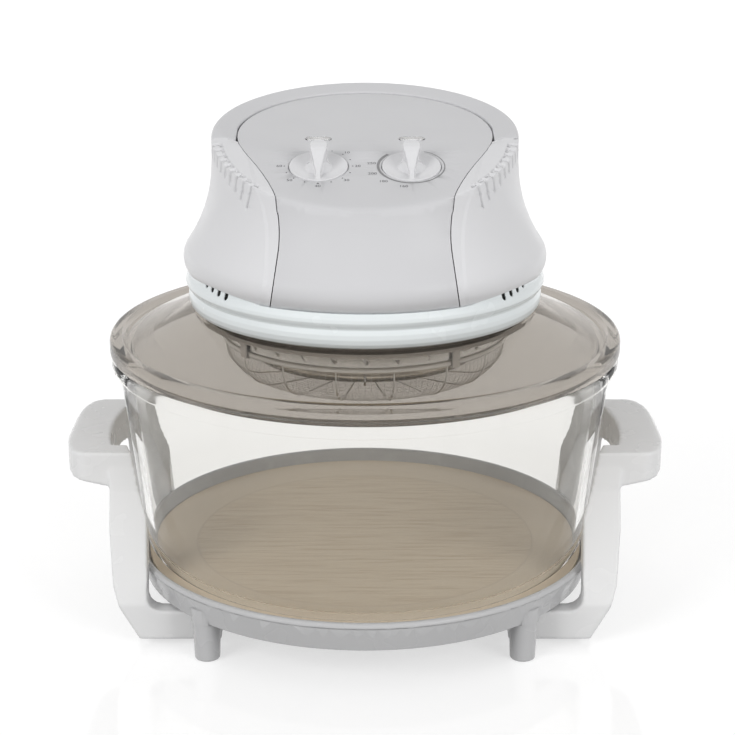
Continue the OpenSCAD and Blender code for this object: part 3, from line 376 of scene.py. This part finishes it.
def clear_glass(name, colour, rough=0.02, rim=None, waves=26, ior=1.47):
    """Pressed glass with faint waves, which lets the lamps through; rim gives the heights between
    which it is hazy, and the number of fine marks round it."""
    m = Shades(name)
    m.set(Base_Color=colour, Roughness=rough, IOR=ior, Transmission_Weight=1.0, Coat_Weight=0.3, Coat_Roughness=0.03)
    height = m.noise(waves, 2)
    if rim:
        low, high, count = rim
        split = m.add("ShaderNodeSeparateXYZ")
        m.join(m.where(), split.inputs[0])
        angle = m.math("ARCTAN2", split.outputs[1], split.outputs[0])
        comb = m.math("SINE", m.math("MULTIPLY", angle, count))
        inside = m.math("MULTIPLY", m.math("GREATER_THAN", split.outputs[2], low),
                        m.math("LESS_THAN", split.outputs[2], high))
        comb = m.math("MULTIPLY", m.spread(comb, 0.2, 1, 0, 0.5), inside)
        height = m.math("ADD", m.math("MULTIPLY", height, 0.4), comb)
        m.join(m.spread(inside, 0, 1, rough, 0.16), m.bsdf.inputs["Roughness"])
    m.bump(height, 0.12, 0.0012)
    path = m.add("ShaderNodeLightPath")
    passing = m.add("ShaderNodeBsdfTransparent")
    passing.inputs["Color"].default_value = (*(0.99 * c ** 0.5 for c in colour), 1)
    mix = m.add("ShaderNodeMixShader")
    m.join(path.outputs["Is Shadow Ray"], mix.inputs[0])
    m.join(m.bsdf.outputs[0], mix.inputs[1])
    m.join(passing.outputs[0], mix.inputs[2])
    m.join(mix.outputs[0], m.tree.nodes["Material Output"].inputs["Surface"])
    return m.material


def wing_plastic(name, colour, rough):
    """The head's white with the pillow edge that runs down each wing beside the panel's seam; the wings get it lighter
    than the panel, as painted light.
    """
    m = Shades(name)
    clouds = m.noise(9, 3)
    m.join(m.ramp(clouds, [(0.3, shade_of(colour, 0.985)), (0.7, shade_of(colour, 1.012))]),
           m.bsdf.inputs["Base Color"])
    m.join(m.spread(m.noise(38, 2), 0.3, 0.7, rough - 0.03, rough + 0.04), m.bsdf.inputs["Roughness"])
    m.set(Specular_IOR_Level=0.45, Coat_Weight=0.08, Coat_Roughness=0.12)
    split = m.add("ShaderNodeSeparateXYZ")
    m.join(m.where(), split.inputs[0])
    rise = m.math("SUBTRACT", split.outputs[2], 0.276)
    upper = m.math("MULTIPLY", m.math("POWER", m.math("MAXIMUM", rise, 0.0), 2.0), 7.5)
    lower = m.math("MULTIPLY", m.math("POWER", m.math("ABSOLUTE", m.math("MINIMUM", rise, 0.0)), 2.0), 2.1)
    line = m.math("ADD", m.math("ADD", upper, lower), 0.0609)
    beyond = m.math("SUBTRACT", m.math("ABSOLUTE", split.outputs[0]), line)
    step = m.math("MULTIPLY", m.spread(beyond, -0.0012, 0.0012, 0, 1),
                  m.math("LESS_THAN", split.outputs[1], -0.02))
    m.bump(step, 1.0, 0.0005)
    return m.material


def liner_board():
    """Pale heat-proof board: fine lines across, a thin brown line round the grained middle and a smooth border."""
    m = Shades("liner board")
    split = m.add("ShaderNodeSeparateXYZ")
    m.join(m.where(), split.inputs[0])
    radius = m.math("SQRT", m.math("ADD", m.math("POWER", split.outputs[0], 2.0),
                                   m.math("POWER", split.outputs[1], 2.0)))
    grain = m.noise(30, 5, m.where((0.7, 12, 1), turn=(0, 0, 0.05)), 0.65)
    lines = m.ramp(grain, [(0.34, (0.72, 0.57, 0.41)), (0.5, (0.86, 0.73, 0.56)), (0.68, (0.90, 0.78, 0.62))])
    border = m.ramp(m.noise(14, 2), [(0.3, (0.85, 0.72, 0.56)), (0.7, (0.88, 0.76, 0.60))])
    mix = m.add("ShaderNodeMixRGB")
    m.join(m.spread(radius, 0.1165, 0.1175, 0, 1), mix.inputs["Fac"])
    m.join(lines, mix.inputs["Color1"])
    m.join(border, mix.inputs["Color2"])
    edge = m.add("ShaderNodeMixRGB")
    on_edge = m.math("SUBTRACT", 1.0, m.spread(m.math("ABSOLUTE", m.math("SUBTRACT", radius, 0.1172)), 0.0004, 0.0012, 0, 1))
    m.join(m.math("MULTIPLY", on_edge, 0.12), edge.inputs["Fac"])
    m.join(mix.outputs["Color"], edge.inputs["Color1"])
    edge.inputs["Color2"].default_value = (0.24, 0.12, 0.06, 1)
    m.join(edge.outputs["Color"], m.bsdf.inputs["Base Color"])
    m.join(m.spread(grain, 0.3, 0.7, 0.42, 0.6), m.bsdf.inputs["Roughness"])
    m.bump(grain, 0.1, 0.0006)
    return m.material


def print_ink(name, colour):
    """Matt printing ink with a slightly broken surface."""
    m = Shades(name)
    m.join(m.ramp(m.noise(900, 2), [(0.35, shade_of(colour, 0.9)), (0.65, shade_of(colour, 1.12))]),
           m.bsdf.inputs["Base Color"])
    m.set(Roughness=0.55)
    return m.material


mats = {
    "white_plastic": plastic("head white", (0.66, 0.66, 0.675), 0.32, coat=0.08),
    # the wings' white is the panel's plastic made lighter, as painted light for the light falling on their sides
    "wing": wing_plastic("wing white, painted lighter", (0.76, 0.76, 0.775), 0.32),
    "stand_plastic": plastic("stand white", (0.84, 0.84, 0.84), 0.26, coat=0.1),
    # the tray and feet take the stand's white made darker, as painted shade on the low parts of the stand
    "tray_plastic_painted_shade": plastic("tray white, painted darker", (0.56, 0.56, 0.565), 0.26, coat=0.1),
    "collar_plastic": plastic("collar bluish white", (0.82, 0.865, 0.875), 0.24, coat=0.2),
    "knob_plastic": plastic("knob white", (0.76, 0.76, 0.775), 0.2, coat=0.25),
    "glass": clear_glass("bowl glass", (0.87, 0.865, 0.85), rim=(0.1715, 0.1829, 0), ior=1.03),
    "lid_glass": clear_glass("lid glass", (0.40, 0.37, 0.335), 0.05, rim=(0.1836, 0.1925, 600), ior=1.08),
    "window": clear_glass("lens clear", (0.95, 0.95, 0.95), 0.12),
    "liner": liner_board(),
    "steel": metal("screw steel", (0.60, 0.60, 0.60), 0.3),
    "bright_metal": metal("bright pan", (0.86, 0.86, 0.85), 0.2),
    "guard_metal": metal("guard wire", (0.90, 0.90, 0.89), 0.34),
    "aluminium": metal("fan aluminium", (0.76, 0.76, 0.77), 0.3, (1, 1, 20)),
    "clip_white": plastic("clip enamel", (0.86, 0.86, 0.86), 0.25),
    "quartz": clear_glass("frosted quartz", (0.93, 0.88, 0.80), 0.25),
    "ceramic_white": plastic("steatite", (0.80, 0.77, 0.70), 0.42, grain=0.12, grain_size=700),
    "insulation": plastic("insulation board", (0.58, 0.55, 0.47), 0.85, grain=0.35, grain_size=420),
    "unit_plastic": plastic("unit black", (0.035, 0.035, 0.038), 0.4, grain=0.08),
    "lamp_body": plastic("lamp diffuser", (0.80, 0.79, 0.78), 0.3),
    "bakelite": plastic("bakelite brown", (0.30, 0.15, 0.07), 0.4, grain=0.1),
    "core_steel": metal("core steel", (0.22, 0.22, 0.23), 0.42, (1, 1, 220), bump=0.3),
    "winding": metal("winding copper", (0.55, 0.24, 0.10), 0.32, (1, 1, 160), bump=0.4),
    "gland_rubber": plastic("gland rubber", (0.46, 0.46, 0.47), 0.6, grain=0.15, grain_size=600),
    # near-black for the vent slots: painted shade for the dark inside of the head
    "slot_shade": plastic("slot shade black", (0.006, 0.006, 0.006), 0.9, grain=0.05),
    "ink": print_ink("dial ink", (0.10, 0.10, 0.11)),
    "scale": print_ink("scale grey", (0.26, 0.26, 0.265)),
}

STAND = {"base_tray", "left_side_frame", "right_side_frame", "front_left_foot", "front_right_foot",
         "rear_left_foot", "rear_right_foot"}


def finish_with(obj, key):
    """Gives a piece its material."""
    obj.data.materials.clear()
    obj.data.materials.append(mats[key])
    return obj


for part in frame["record"]["subparts"]:
    node = part["node"]
    key = part["material_slot"]
    if node in STAND:
        key = "stand_plastic"
    if node == "glass_lid":
        key = "lid_glass"
    # the clamp plate and insulation disc take the clips' white instead of steel and board, as painted light on the
    # shaded band under the collar
    if node in ("clamp_plate", "insulation_disc"):
        key = "clip_white"
    finish_with(nodes[node], key)


# ---------------------------------------------------------------- pieces

def body_of(node):
    for body, members in frame["record"]["behaviour"]["bodies"].items():
        if node in members:
            return body


def covers():
    """The head's covers, the tray and the feet with evenly shaded bends."""
    wings = copy_node("rear_housing", "wing_cover")
    for side in (-1, 1):
        deselect()
        turn = math.radians(270 + side * 57)
        bpy.ops.mesh.primitive_cylinder_add(vertices=360, radius=0.25, depth=0.08, rotation=(0, math.pi / 2, 0))
        arch = settle(named("arch"))
        arch.location = (0.1, 0, 0.2365 + 0.0043 - 0.25)
        settle(arch)
        arch.rotation_euler = (0, 0, turn)
        settle(arch)
        cut(wings, arch)
    # the wings take the lighter white, painted light
    stand_in(even_shine(wings), "rear_housing", "wing")
    # the tray and the feet get the darker white, painted shade
    for node, key in (("control_panel", "white_plastic"), ("base_tray", "tray_plastic_painted_shade"),
                      ("front_left_foot", "tray_plastic_painted_shade"), ("front_right_foot", "tray_plastic_painted_shade"),
                      ("rear_left_foot", "tray_plastic_painted_shade"), ("rear_right_foot", "tray_plastic_painted_shade")):
        stand_in(even_shine(copy_node(node, node + "_cover")), node, key)


def head_edge(x, y):
    """Height of the head's lower edge over the collar, which rises in a low arch on each side."""
    turn = math.degrees(math.atan2(y, x)) % 360
    lift = 0.0
    for side in (-1, 1):
        off = 0.117 * math.sin(math.radians(turn - (270 + side * 57)))
        if abs(off) < 0.06 and abs(turn - (270 + side * 57)) < 40:
            lift = max(lift, 0.0043 - 0.25 + math.sqrt(0.25 ** 2 - off * off))
    return 0.2364 + lift


def collar():
    """Ring under the head: plain lower band, shallow groove, and a bulge with the vent slots, which are backed with
    black as painted shade for the dark inside.
    """
    section = ([(30, 212.05), (110, 212.05), (112.5, 212.5), (115.4, 213.9)]
               + [(117.3, 216.4), (118.2, 219.5), (118.2, 222.6), (117.4, 224.6), (116.9, 225.7), (117.5, 227.0)]
               + [(119.0, 228.6), (119.9, 230.6), (119.7, 232.8), (118.7, 234.9), (117.6, 236.6), (117.0, 238.6)]
               + [(116.7, 241.2), (115.5, 241.2), (115.3, 233.6), (113.2, 231.0), (113.2, 217.0), (110.0, 214.6), (30, 214.6)])
    ring = lathe("vent_collar_ring", section, 180, 0.35, 2)
    for vertex in ring.data.vertices:
        vertex.co.z = min(vertex.co.z, head_edge(vertex.co.x, vertex.co.y))
    outward(ring)
    slots = []
    for side in (-1, 1):
        for k, low in enumerate((0.2346, 0.2354, 0.2362, 0.2374, 0.2386)):
            deselect()
            bpy.ops.mesh.primitive_cylinder_add(vertices=24, radius=0.0018, depth=0.012, rotation=(0, math.pi / 2, 0))
            slot = settle(named("slot"))
            pick_faces(slot, lambda c, n: n.z > 0.1 and abs(n.x) < 0.5)
            bpy.ops.transform.translate(value=(0, 0, 0.009))
            leave()
            slot.location = (0.1165, 0, low + 0.0018)
            settle(slot)
            slot.rotation_euler = (0, 0, math.radians(270 + side * (48.4 + 3.95 * k)))
            slots.append(settle(slot))
    tools = join(slots, "slots")
    # a copy of the slot cutters, trimmed to a thin shell inside the slots, is black painted shade for the unlit inside
    # behind them
    focus(tools)
    bpy.ops.object.duplicate()
    shade_plugs = named("vent_slot_shade")
    cut(ring, tools)
    even_shine(ring)
    stand_in(ring, "vent_collar", "collar_plastic")
    core = lathe("slot_shade_core", [(115.4, 230.6), (119.3, 230.6), (119.1, 232.8), (118.1, 234.9), (117.0, 236.6),
                                (116.4, 238.6), (116.2, 241.0), (115.4, 241.0)], 180)
    tool = shade_plugs.modifiers.new("fill", "BOOLEAN")
    tool.operation = "INTERSECT"
    tool.solver = "EXACT"
    tool.object = core
    apply_modifiers(shade_plugs)
    bpy.data.objects.remove(core)
    smooth(shade_plugs)
    finish_with(shade_plugs, "slot_shade")
    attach(shade_plugs, body_of("vent_collar"))


def glassware():
    """The bowl and the lid, turned with round rims."""
    lean = math.atan((166.1 - 150.2) / 131.7)
    slope = math.tan(lean)
    cx = 150.2 + 18 * slope - 18 / math.cos(lean)
    top = 150.2 + 142.7 * slope - 5 / math.cos(lean)
    tip = math.degrees(lean)
    bowl = lathe("bowl_glass", [(0, 40.3)] + bend(cx, 58.3, 18, -90, -tip, 14)
                 + [(162.6, 143), (166.1, 172)] + bend(168, 176, 3, -60, 0, 5) + bend(168.6, 180.6, 2.4, 0, 90, 6)
                 + [(top + 1.6, 183), (top + 0.5, 182.5), (top, 181.4)]
                 + bend(cx, 58.3, 13, -tip, -90, 14) + [(0, 45.3)], 192)
    stand_in(smooth(bowl, 40), "glass_bowl", "glass")
    lip = 150.2 + 137.7 * slope - 5 / math.cos(lean) - 0.7
    lid = lathe("lid_glass", [(104, 207.2), (114, 207.2), (155.6, 185), (156.6, 178.3), (lip, 178.3), (lip, 183.3)]
                + bend(170.0, 185.3, 2, -90, 0, 5) + bend(168.5, 191, 3.5, 0, 90, 8)
                + [(164, 194.5), (163, 193.6), (161, 191.5), (115.5, 212), (104, 212)], 192, 0.5, 3)
    stand_in(smooth(lid, 40), "glass_lid", "lid_glass")


def soft_covers():
    """Mouldings whose edges the photograph shows softly rounded."""
    for node, voxel, soften, key, slot in (
            ("timer_knob", 0.00036, 5, "knob_plastic", "knob_plastic"),
            ("thermostat_knob", 0.00036, 5, "knob_plastic", "knob_plastic"),
            ("left_side_frame", 0.0011, 3, "stand_plastic", "white_plastic"),
            ("right_side_frame", 0.0011, 3, "stand_plastic", "white_plastic"),
            ("safety_handle", 0.0008, 2, "white_plastic", "white_plastic")):
        obj = moulded(node, node + "_moulding", voxel, soften, body_of(node))
        finish_with(obj, key)


def lay_on_panel(obj, lift):
    """Lays flat printing on the control panel, a little proud of it."""
    wrap = obj.modifiers.new("lie on the panel", "SHRINKWRAP")
    wrap.target = nodes["control_panel"]
    wrap.wrap_method = "NEAREST_SURFACEPOINT"
    wrap.wrap_mode = "ABOVE_SURFACE"
    wrap.offset = lift
    apply_modifiers(obj)
    return obj


def printed(obj, key="ink"):
    lay_on_panel(obj, 0.00006)
    finish_with(obj, key)
    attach(obj, body_of("control_panel"))


def numeral(text, x, v, size):
    bpy.ops.object.text_add(location=(0, 0, 0))
    obj = bpy.context.object
    obj.data.body = text
    obj.data.size = size
    obj.data.align_x = "CENTER"
    obj.data.align_y = "CENTER"
    obj.data.resolution_u = 3
    bpy.ops.object.convert(target="MESH")
    obj = named("numeral_%s_%d" % (text, int(round((x + 0.1) * 10000))))
    obj.location = (x, v, 0.0004)
    settle(obj)
    place(obj, FRONT)
    printed(obj)
    return obj


def dot(x, v, r, name, corners=16):
    deselect()
    bpy.ops.mesh.primitive_circle_add(vertices=corners, radius=r, fill_type="NGON", location=(x, v, 0.0004))
    obj = settle(named(name))
    edit(obj, everything=True)
    bpy.ops.mesh.inset(thickness=r * 0.35)
    leave()
    place(obj, FRONT)
    printed(obj)


def dial_printing():
    """Minutes and dots round the timer, degrees and a growing band round the thermostat."""
    deselect()
    ring = 0.0217
    for k, text in enumerate(("10", "20", "30", "40", "50", "60")):
        turn = math.radians(90 - 45 * (k + 1))
        far = 0.0249 if text in ("20", "60") else 0.0253
        x = -KNOB_X + far * math.cos(turn)
        v = -KNOB_V + far * math.sin(turn)
        numeral(text, x, v, 0.0038)
    for k in range(1, 14):
        turn = math.radians(90 - 22.5 * k)
        if k == 13:
            break
        if k == 8:
            dot(-KNOB_X, -KNOB_V - ring - 0.0003, 0.0011, "timer_mark", 3)
            continue
        dot(-KNOB_X + ring * math.cos(turn), -KNOB_V + ring * math.sin(turn), 0.0005, "timer_dot_%d" % k)
    for text, turn, far in (("160", 258, 0.026), ("180", 227, 0.0264), ("200", 201, 0.0266), ("250", 172, 0.0256)):
        a = math.radians(turn)
        numeral(text, KNOB_X + far * math.cos(a), -KNOB_V + far * math.sin(a), 0.0038)
    first, last = 66, -226
    deselect()
    bpy.ops.mesh.primitive_circle_add(vertices=360, radius=0.02, fill_type="NOTHING")
    band = named("thermostat_band")
    edit(band, "EDGE", everything=True)
    bpy.ops.mesh.extrude_edges_move()
    leave()
    for vertex in band.data.vertices:
        turn = math.degrees(math.atan2(vertex.co.y, vertex.co.x))
        share = (first - turn) % 360 / (first - last)
        r = 0.0209 - 0.0007 * min(share, 1) if vertex.index < 360 else 0.0213 + 0.0009 * min(share, 1)
        vertex.co = (r * math.cos(math.radians(turn)), r * math.sin(math.radians(turn)), 0)
    pick_faces(band, lambda c, n: (first - math.degrees(math.atan2(c.y, c.x))) % 360 > first - last)
    bpy.ops.mesh.delete(type="FACE")
    bpy.ops.mesh.select_all(action="SELECT")
    bpy.ops.mesh.delete_loose(use_verts=True, use_edges=True, use_faces=False)
    bpy.ops.mesh.normals_make_consistent(inside=False)
    leave()
    band.location = (KNOB_X, -KNOB_V, 0.0004)
    settle(band)
    place(band, FRONT)
    printed(band, "scale")


def lenses():
    """Domed clear lenses over the two signal lamps."""
    for side in ("left", "right"):
        node = side + "_lamp_window"
        obj = copy_node(node, side + "_lamp_lens")
        edit(obj, everything=True)
        bpy.ops.mesh.dissolve_limited(angle_limit=math.radians(3))
        leave()
        round_off = obj.modifiers.new("domed", "BEVEL")
        round_off.width = 0.0011
        round_off.segments = 4
        round_off.limit_method = "ANGLE"
        round_off.angle_limit = math.radians(50)
        apply_modifiers(obj)
        smooth(obj, 40)
        finish_with(obj, "window")
        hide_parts(node)
        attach(obj, body_of(node))


def guard():
    """The heater's guard: bright ring, thin ribs and a basket of fine wire net."""
    ring = lathe("guard_ring", [(91, 190), (97, 190), (97, 194), (91, 194)], 144, 0.8, 3)
    hub = lathe("guard_hub", [(4, 162.2), (13, 162.2), (13, 163.6), (4, 163.6)], 48, 0.4, 2)
    line = [(94.7, 190.5)] + bend(71, 186, 23.7, 0, -90, 14) + [(50, 162.3), (30, 162.3), (12, 162.3)]
    ribs = []
    for k in range(16):
        turn = math.tau * (k + 0.5) / 16
        ribs.append(tube("rib", [(r * 0.001 * math.cos(turn), r * 0.001 * math.sin(turn), z * 0.001)
                                 for r, z in line], 0.0005))
    basket = join([ring, hub] + ribs, "guard_basket")
    smooth(basket, 50)
    stand_in(basket, "heater_guard", "guard_metal")
    deselect()
    weave = ([(94.2, 190 - 1.3 * k) for k in range(3)] + bend(70.6, 186, 23.6, 0, -90, 14)[1:]
             + [(70.6 - 2.9 * k, 162.6) for k in range(1, 21)])
    bpy.ops.mesh.primitive_grid_add(x_subdivisions=1, y_subdivisions=len(weave) - 1, size=0.01)
    net = named("guard_net")
    pick_faces(net, lambda c, n: True)
    bpy.ops.mesh.select_mode(type="VERT")
    leave()
    for vertex in net.data.vertices:
        vertex.select = vertex.co.x > 0
    edit(net, "VERT")
    leave()
    for vertex in net.data.vertices:
        vertex.select = vertex.co.x > 0
    bpy.ops.object.mode_set(mode="EDIT")
    bpy.ops.mesh.delete(type="VERT")
    leave()
    for vertex, (r, z) in zip(sorted(net.data.vertices, key=lambda v: v.co.y), weave):
        vertex.co = (r * 0.001, 0, z * 0.001)
    edit(net, "VERT", everything=True)
    bpy.ops.mesh.spin(steps=140, angle=math.tau, center=(0, 0, 0), axis=(0, 0, 1), dupli=False)
    leave()
    outward(net)
    wires = net.modifiers.new("wires", "WIREFRAME")
    wires.thickness = 0.00028
    wires.use_even_offset = False
    apply_modifiers(net)
    smooth(net, 60)
    finish_with(net, "guard_metal")
    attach(net, body_of("heater_guard"))


covers()
collar()
glassware()
soft_covers()
dial_printing()
lenses()
guard()


# ---------------------------------------------------------------- studio

def studio():
    deselect()
    bpy.ops.mesh.primitive_plane_add(size=9, location=(0, 2.0, 0))
    floor = settle(named("floor"))
    m = Shades("pale floor")
    m.set(Base_Color=(0.50, 0.50, 0.50), Roughness=0.06, Specular_IOR_Level=0.5)
    m.join(m.spread(m.noise(3, 2), 0.3, 0.7, 0.05, 0.075), m.bsdf.inputs["Roughness"])
    path = m.add("ShaderNodeLightPath")
    straight = m.math("MULTIPLY", m.math("MAXIMUM", path.outputs["Is Camera Ray"], path.outputs["Is Glossy Ray"]), 0.60)
    lit = m.math("MAXIMUM", straight, m.math("MULTIPLY", path.outputs["Is Transmission Ray"], 0.70))
    m.bsdf.inputs["Emission Color"].default_value = (1, 1, 1, 1)
    m.join(lit, m.bsdf.inputs["Emission Strength"])
    floor.data.materials.append(m.material)

    world = bpy.data.worlds.new("studio")
    bpy.context.scene.world = world
    world.use_nodes = True
    tree = world.node_tree
    back = tree.nodes["Background"]
    path = tree.nodes.new("ShaderNodeLightPath")
    seen = tree.nodes.new("ShaderNodeMath")
    seen.operation = "MAXIMUM"
    tree.links.new(path.outputs["Is Camera Ray"], seen.inputs[0])
    tree.links.new(path.outputs["Is Transmission Ray"], seen.inputs[1])
    both = tree.nodes.new("ShaderNodeMath")
    both.operation = "MAXIMUM"
    tree.links.new(seen.outputs[0], both.inputs[0])
    tree.links.new(path.outputs["Is Glossy Ray"], both.inputs[1])
    level = tree.nodes.new("ShaderNodeMapRange")
    level.inputs["To Min"].default_value = 0.36
    level.inputs["To Max"].default_value = 1.0
    tree.links.new(both.outputs[0], level.inputs["Value"])
    tree.links.new(level.outputs["Result"], back.inputs["Strength"])
    back.inputs["Color"].default_value = (1, 1, 1, 1)

    for name, spot, size, power in (("key", (-2.1, -2.0, 1.6), 1.6, 47), ("fill", (2.1, -2.0, 1.2), 1.6, 38),
                                    ("top", (0, -0.2, 2.4), 1.4, 2)):
        lamp = bpy.data.lights.new(name, "AREA")
        lamp.size = size
        lamp.energy = power
        obj = bpy.data.objects.new(name, lamp)
        obj.visible_glossy = False
        obj.visible_transmission = False
        obj.location = spot
        obj.rotation_euler = (Vector((0, 0, 0.2)) - Vector(spot)).to_track_quat("-Z", "Y").to_euler()
        bpy.context.scene.collection.objects.link(obj)

    camera = bpy.data.cameras.new("camera")
    camera.lens = 93.21
    camera.sensor_width = 36
    camera.shift_x = 0.0034
    camera.clip_start = 0.05
    camera.clip_end = 30
    obj = bpy.data.objects.new("camera", camera)
    obj.location = (0, -1.2401, 0.5562)
    obj.rotation_euler = (math.radians(90 - 17.494), 0, 0)
    bpy.context.scene.collection.objects.link(obj)
    bpy.context.scene.camera = obj
    bpy.context.scene.view_settings.view_transform = "Standard"


studio()
deselect()
